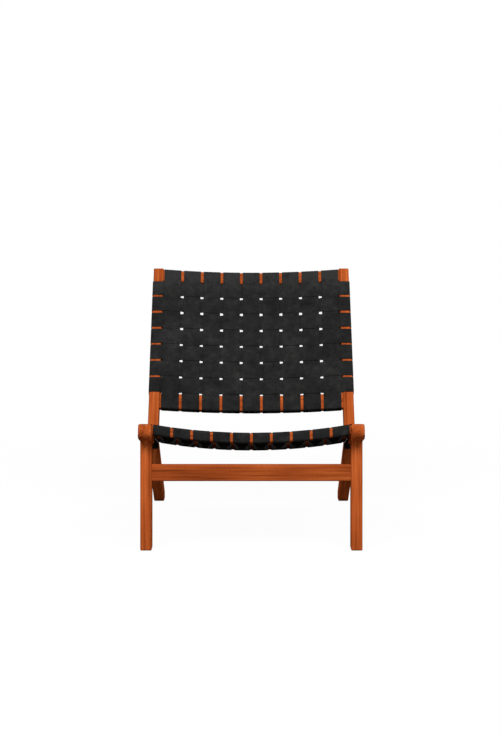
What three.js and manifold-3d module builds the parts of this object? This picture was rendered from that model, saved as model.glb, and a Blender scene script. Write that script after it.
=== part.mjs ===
// Low lounge chair: a solid wood frame whose seat and back are woven from flat leather straps.
// Lengths are millimetres and angles are degrees. +Z is up, the chair faces -Y, and X runs across.
import * as THREE from 'three';
import { mergeVertices } from 'three/addons/utils/BufferGeometryUtils.js';
import Module from 'manifold-3d';

// Frame, across
const frameWidth = 650; // over the outer faces of the legs and posts
const legThickness = 33.5; // legs and posts
const railThickness = 38; // seat rails, centred on the legs
const edgeRadius = 3.5; // eased long edges of legs, posts and rails
const endRadiusShare = 1.4; // radius of the end corners, as a share of the edge radius

// Side frames, seen from the side
const legDepth = 45; // front legs and posts
const frontLegHeight = 318.5; // floor to the underside of the rail, at the front face
const frontLegLean = 8; // off plumb, foot forward
const railHeight = 45;
const railSlope = 15.6; // falls to the rear
const noseReach = 64.4; // the rail's rounded end, in front of the leg
const railReach = 287.5; // along the rail's underside, from the front leg to the knee
const postLength = 681; // up the post's front face, from the knee
const backRecline = 38.45; // off plumb
const rearLegLean = -52.2; // off plumb, along its upper face, foot to the rear
const kneeRise = 60.9; // the rear end of the knee's mitre, up the post from its front end
const rearSoleLength = 48;
const rearHeelHeight = 25; // the upright cut behind the rear sole

// Cross pieces: each section and its place
const stretcherHeight = 49.5;
const stretcherDepth = 24;
const stretcherRise = 203.5; // its lower edge, up the leg from the floor
const stretcherSetback = 3; // behind the front face of the legs
const seatSlope = 15; // from the front bar to the rear bar
const seatDrop = 2.2; // the front bar's upper face, below the top of the rail
const seatBarDepth = 30; // both seat bars, fore and aft
const frontBarHeight = 26;
const frontBarReach = 38; // its front face, in front of the leg
const rearBarHeight = 21;
const rearBarSetback = 3; // its upper edge, behind the front face of the posts
const backBarDepth = 19; // both back bars, front to rear
const backBarSetback = 0.5; // behind the front face of the posts
const topBarHeight = 43.5;
const topBarDrop = 5.7; // below the top of the posts
const bottomBarHeight = 54.7;
const bottomBarRise = 147.9; // up the post's front face, from the knee
const seatBow = 24.6; // sag of the seat bars at mid span
const backBow = 20; // hollow of the back bars at mid span
const barEdge = 4; // corner radius of the cross pieces

// Joints
const tenonThickness = 11;
const legTenonWidth = 30;
const legTenonLength = 25;
const railTenonWidth = 18;
const railTenonLength = 22;
const railTenonRise = 20; // its lower edge, above the rail's underside
const barTenonLength = 9;
const barShoulder = 6; // step from a bar's section in to its tenon
const splineThickness = 8;
const splineWidth = 22;
const splineLength = 34;
const splineInset = 10; // from the rear end of the knee's mitre
const fit = 0.3; // clearance between pieces that meet

// Straps
const strapThickness = 1.5;
const backWarpWidth = 55.6;
const backWeftWidth = 54;
const seatStrapWidth = 49;
const strapTail = 28; // end of a strap, along the last face that it lies on
const crossingMargin = 1; // a strap stays level this far past the strap that it crosses
const backWarpPitchTop = 65.3;
const backWarpPitchBottom = 64.4;
const backWeftGap = 6.5; // from the top bar to the first row
const backWeftPitch = 60.8;
const backWeftDriftShares = [-0.02, -0.015, 0.02, 0.035, 0.03, 0.035, 0.03]; // of the pitch, as laid by hand
const backClearance = 1.5; // from the outermost straps of the back to the posts and the bottom bar
const seatWarpPitch = 57.8;
const seatWeftPitch = 62;
const seatWeftInset = 4.5; // from the front bar's rounded edge to the first row
const seatClearance = 4; // from the outermost straps of the seat to the rails
const wrapClearance = 0.4; // from the straps round the rails to the legs and posts

// Counts of facets
const cornerSteps = 2;
const noseSteps = 10;
const bowSteps = 12;

// Derived across the chair
const outerX = frameWidth / 2;
const innerX = outerX - legThickness;
const middleX = outerX - legThickness / 2;
const railOuterX = middleX + railThickness / 2;
const railInnerX = middleX - railThickness / 2;
const strapOffset = fit + strapThickness / 2; // middle of a strap, above the face that it lies on
const weaveOffset = (strapThickness + fit) / 2; // middle of a strap, off the middle of the weave

const wasm = await Module();
wasm.setup();

const woodMaterial = () => new THREE.MeshStandardMaterial({ color: 0xa9491d, roughness: 0.5, metalness: 0 });
const leatherMaterial = () => new THREE.MeshStandardMaterial({ color: 0x2c2c2c, roughness: 0.75, metalness: 0 });

const radians = THREE.MathUtils.degToRad;
const degrees = THREE.MathUtils.radToDeg;
const chair = new THREE.Group();

// A flat frame of the side view: a runs along it, b runs square to it, and both give a point (y, z).
class SideFrame {
  constructor(origin, along) {
    this.origin = origin;
    this.along = along.clone().normalize();
    this.across = new THREE.Vector2(-this.along.y, this.along.x);
  }

  at(a, b) {
    return this.origin.clone().addScaledVector(this.along, a).addScaledVector(this.across, b);
  }

  block(a0, a1, b0, b1) {
    return [this.at(a0, b0), this.at(a1, b0), this.at(a1, b1), this.at(a0, b1)];
  }
}

// Where the line from p along u meets the line from q along v.
function meet(p, u, q, v) {
  const along = q.clone().sub(p).cross(v) / u.cross(v);
  return p.clone().addScaledVector(u, along);
}

const offPlumb = (angle) => new THREE.Vector2(Math.sin(radians(angle)), Math.cos(radians(angle)));
const falling = (angle) => new THREE.Vector2(Math.cos(radians(angle)), -Math.sin(radians(angle)));
const level = new THREE.Vector2(1, 0);

// Frames of the side view
const legFrame = new SideFrame(new THREE.Vector2(), offPlumb(frontLegLean));
const railFrame = new SideFrame(legFrame.at(frontLegHeight / legFrame.along.y, 0), falling(railSlope));
const seatFrame = new SideFrame(railFrame.at(0, railHeight - seatDrop), falling(seatSlope));
const kneeFront = railFrame.at(railReach, 0);
const postAlong = offPlumb(backRecline);
const backFrame = new SideFrame(kneeFront.clone().addScaledVector(postAlong, postLength), postAlong);
const bottomBarDrop = postLength - bottomBarRise - bottomBarHeight; // below the top of the posts
const rearLegAlong = offPlumb(rearLegLean);
const kneeRear = backFrame.at(kneeRise - postLength, -legDepth);
const heelTop = meet(kneeRear, rearLegAlong, new THREE.Vector2(0, rearHeelHeight), level);
const mitreFrame = new SideFrame(kneeRear, kneeRear.clone().sub(kneeFront));
const postOnSeat = meet(seatFrame.origin, seatFrame.along, kneeFront, postAlong).distanceTo(seatFrame.origin);

// Points on an arc, both ends included.
function arc(ca, cb, radius, from, to, steps = cornerSteps) {
  return Array.from({ length: steps + 1 }, (_, i) => {
    const angle = radians(from + ((to - from) * i) / steps);
    return new THREE.Vector2(ca + radius * Math.cos(angle), cb + radius * Math.sin(angle));
  });
}

// An anticlockwise outline with every edge moved inwards, but for its first, which meets another piece.
function inset(outline, reach) {
  const count = outline.length;
  const edges = outline.map((point, i) => outline[(i + 1) % count].clone().sub(point).normalize());
  return outline.map((point, i) => {
    const before = (i + count - 1) % count;
    const [p, q] = [before, i].map((edge) => {
      const inward = new THREE.Vector2(-edges[edge].y, edges[edge].x);
      return point.clone().addScaledVector(inward, edge > 0 ? reach : 0);
    });
    return meet(p, edges[before], q, edges[i]);
  });
}

// Rounds the corners of an outline, but for the two ends of its first edge.
function rounded(outline, radius) {
  const centres = inset(outline, radius);
  const heading = (i) => degrees(outline[(i + 1) % outline.length].clone().sub(outline[i]).angle());
  return outline.flatMap((point, i) => {
    if (i < 2) return [point];
    const start = heading(i - 1) - 90;
    const turning = (heading(i) - heading(i - 1) + 360) % 360;
    return arc(centres[i].x, centres[i].y, radius, start, start + turning);
  });
}

// A body through copies of one outline: a rule turns each of its points, at each place, into [x, y, z].
function loft(outline, places, rule) {
  const count = outline.length;
  const lastCopy = (places.length - 1) * count;
  const caps = THREE.ShapeUtils.triangulateShape(outline, []);
  const index = caps.flatMap(([i, j, k]) => [k, j, i, lastCopy + i, lastCopy + j, lastCopy + k]);
  for (let copy = 0; copy < lastCopy; copy += count) {
    for (let i = 0; i < count; i += 1) {
      const next = (i + 1) % count;
      index.push(copy + i, copy + next, copy + count + next);
      index.push(copy + i, copy + count + next, copy + count + i);
    }
  }
  const points = places.flatMap((place) => outline.flatMap((point, i) => rule(point, place, i)));
  const geometry = new THREE.BufferGeometry();
  geometry.setAttribute('position', new THREE.Float32BufferAttribute(points, 3));
  geometry.setIndex(index);
  geometry.computeVertexNormals();
  return geometry;
}

// A body drawn along X from an outline of the side view, with its long edges eased by a radius.
function drawn(outline, x0, x1, ease = 0) {
  const steps = ease > 0 ? cornerSteps : 0;
  const near = Array.from({ length: steps + 1 }, (_, i) => {
    const angle = radians((90 * i) / Math.max(steps, 1));
    return {
      into: ease * (1 - Math.cos(angle)),
      loop: ease > 0 ? inset(outline, ease * (1 - Math.sin(angle))) : outline,
    };
  });
  const places = [
    ...near.map(({ into, loop }) => ({ x: x0 + into, loop })),
    ...near.map(({ into, loop }) => ({ x: x1 - into, loop })).reverse(),
  ];
  return loft(outline, places, (point, { x, loop }, i) => [x, loop[i].x, loop[i].y]);
}

function toSolid(geometry) {
  const bare = geometry.clone();
  bare.deleteAttribute('normal');
  const merged = mergeVertices(bare);
  return new wasm.Manifold(new wasm.Mesh({
    numProp: 3,
    vertProperties: new Float32Array(merged.attributes.position.array),
    triVerts: new Uint32Array(merged.index.array),
  }));
}

function toGeometry(solid) {
  const mesh = solid.getMesh();
  const geometry = new THREE.BufferGeometry();
  geometry.setAttribute('position', new THREE.BufferAttribute(mesh.vertProperties, 3));
  geometry.setIndex(new THREE.BufferAttribute(mesh.triVerts, 1));
  geometry.computeVertexNormals();
  return geometry;
}

// Adds the tenons to a body and cuts the mortises out of it.
function joined(body, tenons, mortises) {
  let solid = toSolid(body);
  tenons.forEach((tenon) => { solid = solid.add(toSolid(tenon)); });
  mortises.forEach((mortise) => { solid = solid.subtract(toSolid(mortise)); });
  return toGeometry(solid);
}

function addMesh(name, geometry, material, mirrored = false) {
  const mesh = new THREE.Mesh(geometry, material);
  mesh.name = name;
  mesh.scale.x = mirrored ? -1 : 1;
  chair.add(mesh);
}

// The right-hand piece (+X), and its mirror image on the left.
function addPair(name, geometry, material) {
  addMesh(`${name}_right`, geometry, material());
  addMesh(`${name}_left`, geometry.clone(), material(), true);
}

// Depth of the bowed seat and back at a place across them.
const bowAt = (bow, halfSpan, x) => bow * Math.max(0, 1 - (x / halfSpan) ** 2);
const seatSag = (x) => bowAt(seatBow, railInnerX, x);
const backHollow = (x) => bowAt(backBow, innerX, x);
const straight = () => 0;

// Cross pieces: the frame that each is square to, its section there, its half span and its bow.
const crossPieces = {
  front_stretcher: {
    frame: legFrame,
    a: stretcherRise,
    height: stretcherHeight,
    b: -stretcherSetback - stretcherDepth,
    depth: stretcherDepth,
    halfSpan: innerX,
    bow: straight,
  },
  seat_front_bar: {
    frame: seatFrame,
    a: -frontBarReach,
    height: seatBarDepth,
    b: -frontBarHeight,
    depth: frontBarHeight,
    halfSpan: railInnerX,
    bow: seatSag,
  },
  seat_rear_bar: {
    frame: seatFrame,
    a: postOnSeat + rearBarSetback,
    height: seatBarDepth,
    b: -rearBarHeight,
    depth: rearBarHeight,
    halfSpan: innerX,
    bow: seatSag,
  },
  back_top_bar: {
    frame: backFrame,
    a: -topBarDrop - topBarHeight,
    height: topBarHeight,
    b: -backBarSetback - backBarDepth,
    depth: backBarDepth,
    halfSpan: innerX,
    bow: backHollow,
  },
  back_bottom_bar: {
    frame: backFrame,
    a: -bottomBarDrop - bottomBarHeight,
    height: bottomBarHeight,
    b: -backBarSetback - backBarDepth,
    depth: backBarDepth,
    halfSpan: innerX,
    bow: backHollow,
  },
};

// The right-hand tenon of a cross piece, or with a clearance its mortise.
function barTenon(piece, clearance) {
  const { frame, a, height, b, depth, halfSpan } = piece;
  const step = barShoulder - clearance;
  const outline = frame.block(a + step, a + height - step, b + step, b + depth - step);
  return drawn(outline, halfSpan - barShoulder, halfSpan + barTenonLength + clearance);
}

// The left-hand tenon of a cross piece.
function leftBarTenon({ frame, a, height, b, depth, halfSpan }) {
  const outline = frame.block(a + barShoulder, a + height - barShoulder, b + barShoulder, b + depth - barShoulder);
  return drawn(outline, -halfSpan - barTenonLength, barShoulder - halfSpan);
}

function crossPiece(piece) {
  const { frame, a, height, b, depth, halfSpan, bow } = piece;
  const half = halfSpan - fit;
  const near = a + barEdge;
  const far = a + height - barEdge;
  const low = b + barEdge;
  const high = b + depth - barEdge;
  const section = [
    ...arc(near, low, barEdge, 180, 270),
    ...arc(far, low, barEdge, 270, 360),
    ...arc(far, high, barEdge, 0, 90),
    ...arc(near, high, barEdge, 90, 180),
  ];
  const steps = bow === straight ? 1 : bowSteps;
  const places = Array.from({ length: steps + 1 }, (_, i) => -half + (2 * half * i) / steps);
  const body = loft(section, places, (corner, x) => {
    const point = frame.at(corner.x, corner.y - bow(x));
    return [x, point.x, point.y];
  });
  return joined(body, [barTenon(piece, 0), leftBarTenon(piece)], []);
}

const mortisesOf = (...names) => names.map((name) => barTenon(crossPieces[name], fit));

// Both faces of a piece of some thickness, centred in the legs.
const centred = (thickness, clearance) => [
  middleX - thickness / 2 - clearance,
  middleX + thickness / 2 + clearance,
];

// The top of the front leg, along the rail's underside.
const legFootprint = legDepth / Math.cos(radians(railSlope - frontLegLean));

// The tenon on top of the front leg, or with a clearance its mortise in the rail.
function legTenon(clearance) {
  const middle = legFootprint / 2;
  const reach = legTenonWidth / 2 + clearance;
  const outline = railFrame.block(middle - reach, middle + reach, -edgeRadius, legTenonLength + clearance);
  return drawn(outline, ...centred(tenonThickness, clearance));
}

// The tenon at the rear end of the rail, or with a clearance its mortise in the post.
function railTenon(clearance) {
  const low = railTenonRise - clearance;
  const high = railTenonRise + railTenonWidth + clearance;
  const outline = railFrame.block(railReach - edgeRadius, railReach + railTenonLength + clearance, low, high);
  return drawn(outline, ...centred(tenonThickness, clearance));
}

// The loose spline that locks the mitre between post and rear leg, or with a clearance its slot.
function kneeSpline(clearance) {
  const reach = splineLength / 2 + clearance;
  const rear = -splineInset + clearance;
  const front = -splineInset - splineWidth - clearance;
  return drawn(mitreFrame.block(front, rear, -reach, reach), ...centred(splineThickness, clearance));
}

const endRadius = edgeRadius * endRadiusShare;

function frontLeg() {
  const rear = legFrame.at(0, -legDepth);
  const seat = railFrame.at(0, -fit);
  const outline = rounded([
    meet(rear, legFrame.along, seat, railFrame.along),
    meet(legFrame.origin, legFrame.along, seat, railFrame.along),
    legFrame.origin,
    meet(rear, legFrame.along, legFrame.origin, level),
  ], endRadius);
  return joined(drawn(outline, innerX, outerX, edgeRadius), [legTenon(0)], mortisesOf('front_stretcher'));
}

function seatRail() {
  const radius = railHeight / 2;
  const shoulder = railReach - fit / Math.cos(radians(backRecline - railSlope));
  const outline = [
    new THREE.Vector2(shoulder, 0),
    new THREE.Vector2(shoulder + railHeight * Math.tan(radians(backRecline - railSlope)), railHeight),
    ...arc(radius - noseReach, radius, radius, 90, 270, noseSteps),
  ].map((point) => railFrame.at(point.x, point.y));
  const body = drawn(outline, railInnerX, railOuterX, edgeRadius);
  return joined(body, [railTenon(0)], [legTenon(fit), ...mortisesOf('seat_front_bar')]);
}

function backPost() {
  const joint = mitreFrame.at(0, fit / 2);
  const outline = rounded([
    meet(kneeFront, postAlong, joint, mitreFrame.along),
    meet(kneeRear, postAlong, joint, mitreFrame.along),
    backFrame.at(0, -legDepth),
    backFrame.origin,
  ], endRadius);
  const mortises = mortisesOf('back_top_bar', 'back_bottom_bar', 'seat_rear_bar');
  return joined(drawn(outline, innerX, outerX, edgeRadius), [], [railTenon(fit), kneeSpline(fit), ...mortises]);
}

function rearLeg() {
  const joint = mitreFrame.at(0, -fit / 2);
  const soleFront = new THREE.Vector2(heelTop.x - rearSoleLength, 0);
  const outline = rounded([
    meet(heelTop, rearLegAlong, joint, mitreFrame.along),
    meet(soleFront, kneeFront.clone().sub(soleFront), joint, mitreFrame.along),
    soleFront,
    new THREE.Vector2(heelTop.x, 0),
    heelTop,
  ], endRadius);
  return joined(drawn(outline, innerX, outerX, edgeRadius), [], [kneeSpline(fit)]);
}

// The closed outline of a strap's thickness, from the middle line that it follows.
function ribbon(middleLine) {
  const last = middleLine.length - 1;
  const side = (sign) => middleLine.map((point, i) => {
    const into = middleLine[Math.max(i, 1)].clone().sub(middleLine[Math.max(i, 1) - 1]).normalize();
    const out = middleLine[Math.min(i + 1, last)].clone().sub(middleLine[Math.min(i + 1, last) - 1]).normalize();
    const normal = new THREE.Vector2(-into.y, into.x);
    const mitre = normal.clone().add(new THREE.Vector2(-out.y, out.x)).normalize();
    return point.clone().addScaledVector(mitre, (sign * strapThickness) / (2 * mitre.dot(normal)));
  });
  return [...side(-1), ...side(1).reverse()];
}

const mirroredLine = (line) => line.map((point) => new THREE.Vector2(-point.x, point.y)).reverse();

// The turn of a strap round an edge of some radius.
const turn = (ca, cb, radius, from, to) => arc(ca, cb, radius + strapOffset, from, to);

// The two points where a strap passes over or under another that lies square to it.
function crossing(middle, width, over, levelAt) {
  const reach = width / 2 + crossingMargin;
  const offset = over ? weaveOffset : -weaveOffset;
  return [middle - reach, middle + reach].map((along) => new THREE.Vector2(along, levelAt(along) + offset));
}

const weftIsOver = (row, column) => (row + column) % 2 === 1;
const rowsOf = (count, placeOf) => Array.from({ length: count }, (_, i) => placeOf(i));

// How many straps fit side by side in a space, a pitch apart.
const strapsIn = (space, width, pitch) => Math.floor((space - width) / pitch) + 1;

const backWarpCount = strapsIn(2 * (innerX - backClearance), backWarpWidth, backWarpPitchTop);
const backWeftTop = topBarDrop + topBarHeight + backWeftGap;
const backWeftCount = strapsIn(bottomBarDrop - backClearance - backWeftTop, backWeftWidth, backWeftPitch);
const backWeftPlaces = rowsOf(backWeftCount, (row) => {
  const drift = backWeftDriftShares[row % backWeftDriftShares.length];
  return backWeftTop + backWeftWidth / 2 + (row + drift) * backWeftPitch;
});

const seatWarpCount = strapsIn(2 * (railInnerX - seatClearance), seatStrapWidth, seatWarpPitch);
const seatWarpPlaces = rowsOf(seatWarpCount, (column) => (column - (seatWarpCount - 1) / 2) * seatWarpPitch);

const seatRowsStart = barEdge + seatWeftInset - frontBarReach;
const seatWeftCount = strapsIn(railReach - wrapClearance - seatRowsStart, seatStrapWidth, seatWeftPitch);
const seatWeftPlaces = rowsOf(seatWeftCount, (row) => seatRowsStart + seatStrapWidth / 2 + row * seatWeftPitch);

// The first row of the seat lies on the front bar, where the weave is two straps thick.
const seatLevel = (row) => strapOffset + (row === 0 ? weaveOffset : 0);

// Middle of an upright strap of the back, at a share of the way down.
function backWarpX(column, downShare) {
  const pitch = THREE.MathUtils.lerp(backWarpPitchTop, backWarpPitchBottom, downShare);
  return (column - (backWarpCount - 1) / 2) * pitch;
}

const bothEdges = (width) => [-width / 2, width / 2];
const backDrop = bottomBarDrop + bottomBarHeight;

// An upright strap of the back, from behind the top bar down to behind the bottom bar.
function backWarp(column) {
  const front = -backBarSetback;
  const behind = front - backBarDepth;
  const field = front + strapOffset;
  const middleLine = [
    new THREE.Vector2(strapTail - backDrop, behind - strapOffset),
    ...turn(barEdge - backDrop, behind + barEdge, barEdge, 270, 180),
    ...turn(barEdge - backDrop, front - barEdge, barEdge, 180, 90),
    new THREE.Vector2(-bottomBarDrop - barEdge, field),
    ...backWeftPlaces.map((place, row) => (
      crossing(-place, backWeftWidth, !weftIsOver(row, column), () => field)
    )).reverse().flat(),
    new THREE.Vector2(barEdge - topBarDrop - topBarHeight, field),
    ...turn(-topBarDrop - barEdge, front - barEdge, barEdge, 90, 0),
    ...turn(-topBarDrop - barEdge, behind + barEdge, barEdge, 0, -90),
    new THREE.Vector2(-topBarDrop - strapTail, behind - strapOffset),
  ];
  return loft(ribbon(middleLine), bothEdges(backWarpWidth), (spot, across) => {
    const x = backWarpX(column, -spot.x / backDrop) + across;
    const point = backFrame.at(spot.x, spot.y - backHollow(x));
    return [x, point.x, point.y];
  });
}

// A level strap of the back, wrapped round both posts.
function backWeft(row) {
  const place = backWeftPlaces[row];
  const levelAt = (x) => strapOffset - backBarSetback - backHollow(x);
  const field = rowsOf(backWarpCount, (column) => (
    crossing(backWarpX(column, place / backDrop), backWarpWidth, weftIsOver(row, column), levelAt)
  )).flat();
  const end = [
    new THREE.Vector2(innerX + edgeRadius, strapOffset),
    ...turn(outerX - edgeRadius, -edgeRadius, edgeRadius, 90, 0),
    ...turn(outerX - edgeRadius, edgeRadius - legDepth, edgeRadius, 0, -90),
    ...turn(innerX + edgeRadius, edgeRadius - legDepth, edgeRadius, -90, -180),
    new THREE.Vector2(innerX - strapOffset, strapTail - legDepth),
  ];
  const middleLine = [...mirroredLine(end), ...field, ...end];
  return loft(ribbon(middleLine), bothEdges(backWeftWidth), (spot, down) => {
    const point = backFrame.at(-place - down, spot.y);
    return [spot.x, point.x, point.y];
  });
}

// A fore and aft strap of the seat, wrapped round the front bar and the rear bar.
function seatWarp(column) {
  const frontBar = crossPieces.seat_front_bar;
  const rearBar = crossPieces.seat_rear_bar;
  const barRear = frontBar.a + seatBarDepth;
  const rearFace = rearBar.a + seatBarDepth;
  const tailEnd = -barEdge - strapOffset;
  const middleLine = [
    new THREE.Vector2(barRear + strapOffset, tailEnd),
    ...turn(barRear - barEdge, barEdge - frontBarHeight, barEdge, 0, -90),
    ...turn(frontBar.a + barEdge, barEdge - frontBarHeight, barEdge, 270, 180),
    ...turn(frontBar.a + barEdge, -barEdge, barEdge, 180, 90),
    ...seatWeftPlaces.flatMap((place, row) => (
      crossing(place, seatStrapWidth, !weftIsOver(row, column), () => seatLevel(row))
    )),
    new THREE.Vector2(rearBar.a + barEdge, strapOffset),
    ...turn(rearFace - barEdge, -barEdge, barEdge, 90, 0),
    ...turn(rearFace - barEdge, barEdge - rearBarHeight, barEdge, 0, -90),
    ...turn(rearBar.a + barEdge, barEdge - rearBarHeight, barEdge, 270, 180),
    new THREE.Vector2(rearBar.a - strapOffset, tailEnd),
  ];
  return loft(ribbon(middleLine), bothEdges(seatStrapWidth), (spot, across) => {
    const x = seatWarpPlaces[column] + across;
    const point = seatFrame.at(spot.x, spot.y - seatSag(x));
    return [x, point.x, point.y];
  });
}

// A cross strap of the seat. It is wrapped round both rails, but over a leg it ends on the outer faces.
function seatWeft(row) {
  const place = seatWeftPlaces[row];
  const seatRise = railHeight - seatDrop + place * Math.tan(radians(railSlope - seatSlope));
  const levelAt = (x) => seatRise + seatLevel(row) - seatSag(x);
  const field = seatWarpPlaces.flatMap((middle, column) => (
    crossing(middle, seatStrapWidth, weftIsOver(row, column), levelAt)
  ));
  const overLeg = place - seatStrapWidth / 2 < legFootprint + wrapClearance;
  const under = overLeg ? [new THREE.Vector2(railOuterX + strapOffset, edgeRadius)] : [
    ...turn(railOuterX - edgeRadius, edgeRadius, edgeRadius, 0, -90),
    ...turn(railInnerX + edgeRadius, edgeRadius, edgeRadius, -90, -180),
    new THREE.Vector2(railInnerX - strapOffset, strapTail),
  ];
  const end = [
    ...turn(railOuterX - edgeRadius, railHeight - edgeRadius, edgeRadius, 90, 0),
    ...under,
  ];
  const onto = (fieldEnd) => (fieldEnd.y < railHeight
    ? turn(railInnerX + edgeRadius, railHeight - edgeRadius, edgeRadius, 135, 90)
    : [new THREE.Vector2(railInnerX + edgeRadius, railHeight + strapOffset)]);
  const left = [...onto(field[0]), ...end];
  const right = [...onto(field[field.length - 1]), ...end];
  const middleLine = [...mirroredLine(left), ...field, ...right];
  const wrapStart = railInnerX - strapOffset - strapThickness;
  return loft(ribbon(middleLine), bothEdges(seatStrapWidth), (spot, ahead) => {
    const onRail = Math.abs(spot.x) > wrapStart;
    const point = onRail ? railFrame.at(place - ahead, spot.y) : seatFrame.at(place - ahead, spot.y - seatRise);
    return [spot.x, point.x, point.y];
  });
}

addPair('front_leg', frontLeg(), woodMaterial);
addPair('rear_leg', rearLeg(), woodMaterial);
addPair('seat_rail', seatRail(), woodMaterial);
addPair('back_post', backPost(), woodMaterial);
addPair('knee_spline', kneeSpline(0), woodMaterial);
Object.entries(crossPieces).forEach(([name, piece]) => addMesh(name, crossPiece(piece), woodMaterial()));

// Woven straps, each numbered from one
const weave = [
  ['back_warp_strap', backWarpCount, backWarp],
  ['back_weft_strap', backWeftCount, backWeft],
  ['seat_warp_strap', seatWarpCount, seatWarp],
  ['seat_weft_strap', seatWeftCount, seatWeft],
];
weave.forEach(([name, count, strap]) => {
  rowsOf(count, (i) => addMesh(`${name}_${i + 1}`, strap(i), leatherMaterial()));
});

// The origin lies on the floor, at the middle of the chair's box.
chair.updateMatrixWorld(true);
const box = new THREE.Box3().setFromObject(chair, true);
chair.position.set(0, -(box.min.y + box.max.y) / 2, -box.min.z);

export default chair;
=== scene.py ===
import math

import bmesh
import bpy
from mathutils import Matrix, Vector


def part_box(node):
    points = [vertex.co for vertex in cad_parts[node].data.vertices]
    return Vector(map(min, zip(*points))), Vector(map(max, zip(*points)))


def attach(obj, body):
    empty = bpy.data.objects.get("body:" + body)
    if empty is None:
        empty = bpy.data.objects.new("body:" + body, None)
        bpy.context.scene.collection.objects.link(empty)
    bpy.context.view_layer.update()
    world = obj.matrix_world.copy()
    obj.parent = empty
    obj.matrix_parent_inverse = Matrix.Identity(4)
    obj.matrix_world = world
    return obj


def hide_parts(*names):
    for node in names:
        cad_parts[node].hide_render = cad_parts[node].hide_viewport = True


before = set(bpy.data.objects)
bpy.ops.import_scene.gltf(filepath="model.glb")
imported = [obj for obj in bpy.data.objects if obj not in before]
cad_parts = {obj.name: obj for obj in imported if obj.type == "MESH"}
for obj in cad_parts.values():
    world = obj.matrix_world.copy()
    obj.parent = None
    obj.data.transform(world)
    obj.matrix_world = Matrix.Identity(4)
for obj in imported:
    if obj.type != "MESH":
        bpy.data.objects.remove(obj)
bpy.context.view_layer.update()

# The front legs are straight boards of a red-brown hardwood, stained and oiled. They lean back and
# are tenoned up into the seat rails. Everything on the chair's sides is set out on one side
# elevation, whose origin is the front foot's front corner on the floor.
leg_thickness = 0.0335
leg_depth = 0.045
leg_outer_x = 0.325
leg_inner_x = leg_outer_x - leg_thickness
front_leg_height = 0.3185
front_leg_lean = 8  # degrees off plumb
rail_height = 0.045
rail_slope = 15.6  # degrees below level
nose_reach = 0.0644  # the rail's rounded end, in front of the leg
arris = 0.0035  # rounding of the long edges
end_rounding = 0.0049  # rounding of the ends, seen from the side
edge_segments = 4
joint_gap = 0.0003  # between pieces that meet
saw_waste = 0.01  # of the stock, all round a piece
crosswise_share = 0.9  # of a leg's thickness: a longer step in x is an edge across the chair
same_x = 0.0001  # a shorter step in x is an edge along a side of the chair
on_line = 0.001  # a corner this near to a line of the side elevation lies on it
wood_smoothing = math.radians(35)
level_way = Vector((1, 0))


class SideLine:
    """A line of the side elevation: at(a, b) is the point (y, z) a along it and b square to it."""

    def __init__(self, origin, along):
        self.origin = Vector(origin)
        self.along = Vector(along).normalized()
        self.across = Vector((-self.along.y, self.along.x))

    def at(self, a, b):
        return self.origin + a * self.along + b * self.across

    def block(self, a0, a1, b0, b1):
        return [self.at(a0, b0), self.at(a1, b0), self.at(a1, b1), self.at(a0, b1)]


def off_plumb(angle):
    return Vector((math.sin(math.radians(angle)), math.cos(math.radians(angle))))


def falling(angle):
    return Vector((math.cos(math.radians(angle)), -math.sin(math.radians(angle))))


def meet(p, u, q, v):
    """Where the line from p along u meets the line from q along v."""
    gap = q - p
    return p + u * ((gap.x * v.y - gap.y * v.x) / (u.x * v.y - u.y * v.x))


# The rail's rounded end is the frame's foremost point, so it ties the side elevation to the frame.
nose_radius = rail_height / 2
leg_line = SideLine((0, 0), off_plumb(front_leg_lean))
rail_line = SideLine(leg_line.at(front_leg_height / leg_line.along.y, 0), falling(rail_slope))
nose_front = rail_line.at(nose_radius - nose_reach, nose_radius).x - nose_radius
origin_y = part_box("seat_rail_right")[0].y - nose_front
leg_line = SideLine((origin_y, 0), leg_line.along)
rail_line = SideLine(rail_line.origin + Vector((origin_y, 0)), rail_line.along)


def deselect():
    bpy.ops.object.select_all(action="DESELECT")


def take(piece):
    """Selects one piece alone, as the one that is worked on."""
    deselect()
    piece.select_set(True)
    bpy.context.view_layer.objects.active = piece


def pick(piece, test):
    """In edit mode, selects the edges whose two ends pass the test."""
    mesh = bmesh.from_edit_mesh(piece.data)
    bpy.ops.mesh.select_mode(type="EDGE")
    bpy.ops.mesh.select_all(action="DESELECT")
    for edge in mesh.edges:
        edge.select_set(test(*(corner.co for corner in edge.verts)))
    bmesh.update_edit_mesh(piece.data)


def sawn(name, outline, x0, x1):
    """A board from x0 to x1, sawn along each side of an anticlockwise outline of (y, z) points."""
    low = [min(p[i] for p in outline) - saw_waste for i in (0, 1)]
    high = [max(p[i] for p in outline) + saw_waste for i in (0, 1)]
    deselect()
    bpy.ops.mesh.primitive_cube_add(
        size=1,
        location=((x0 + x1) / 2, (low[0] + high[0]) / 2, (low[1] + high[1]) / 2),
        scale=(x1 - x0, high[0] - low[0], high[1] - low[1]),
    )
    bpy.ops.object.transform_apply(location=True, rotation=True, scale=True)
    piece = bpy.context.object
    piece.name = piece.data.name = name
    bpy.ops.object.mode_set(mode="EDIT")
    for p, q in zip(outline, outline[1:] + outline[:1]):
        bpy.ops.mesh.select_all(action="SELECT")
        bpy.ops.mesh.bisect(
            plane_co=(0, p.x, p.y),
            plane_no=(0, q.y - p.y, p.x - q.x),
            use_fill=True,
            clear_outer=True,
        )
    return piece


def across_chair(a, b):
    return abs(a.x - b.x) > crosswise_share * leg_thickness


def along_side_face(a, b):
    return abs(a.x - b.x) < same_x


def lies_on(a, b, point, along):
    """Whether an edge lies on a line of the side elevation, through a point and along a way."""
    across = Vector((-along.y, along.x))
    return all(abs((Vector((p.y, p.z)) - point).dot(across)) < on_line for p in (a, b))


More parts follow.
